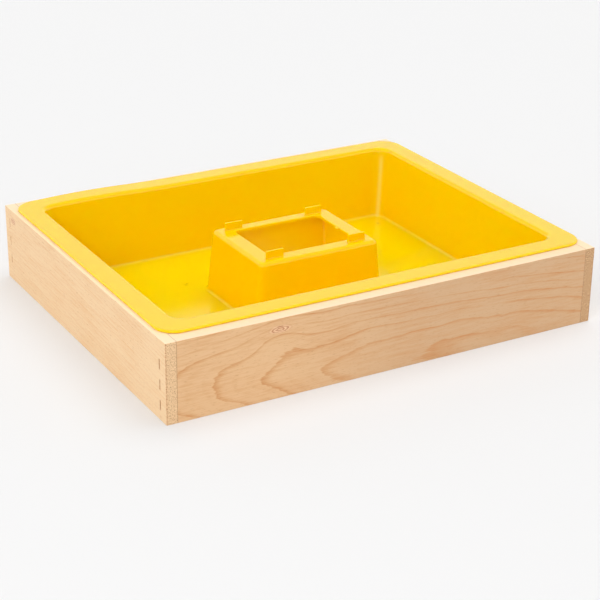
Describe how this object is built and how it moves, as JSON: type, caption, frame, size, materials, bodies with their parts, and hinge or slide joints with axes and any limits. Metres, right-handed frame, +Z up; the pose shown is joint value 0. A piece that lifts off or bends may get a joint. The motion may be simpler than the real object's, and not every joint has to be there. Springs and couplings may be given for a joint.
{
  "type": "hive-top feeder",
  "caption": "Wooden rim holding a moulded plastic feeding tray by its lip; a hollow chimney tower with upright tabs stands in the basin.",
  "frame": {"origin": "centre of the rim's underside, on the plane that it stands on", "axes": "+X along the rim's long side, +Y from the front board to the rear board, +Z up"},
  "size_m": [0.505, 0.413, 0.0887],
  "materials": {
    "pine": "planed, unfinished pine",
    "staple_steel": "dull galvanised wire",
    "tray_plastic": "satin-gloss moulded yellow"
  },
  "bodies": {
    "rim": {"front_board": "pine", "rear_board": "pine", "left_end_board": "pine", "right_end_board": "pine", "front_left_staples": "staple_steel", "front_right_staples": "staple_steel", "rear_left_staples": "staple_steel", "rear_right_staples": "staple_steel"},
    "tray": {"feeder_tray": "tray_plastic"}
  },
  "joints": [
    {"name": "tray_lift", "type": "slide", "parent": "rim", "child": "tray", "axis": [0, 0, 1], "range_m": [0, 0.12]}
  ]
}
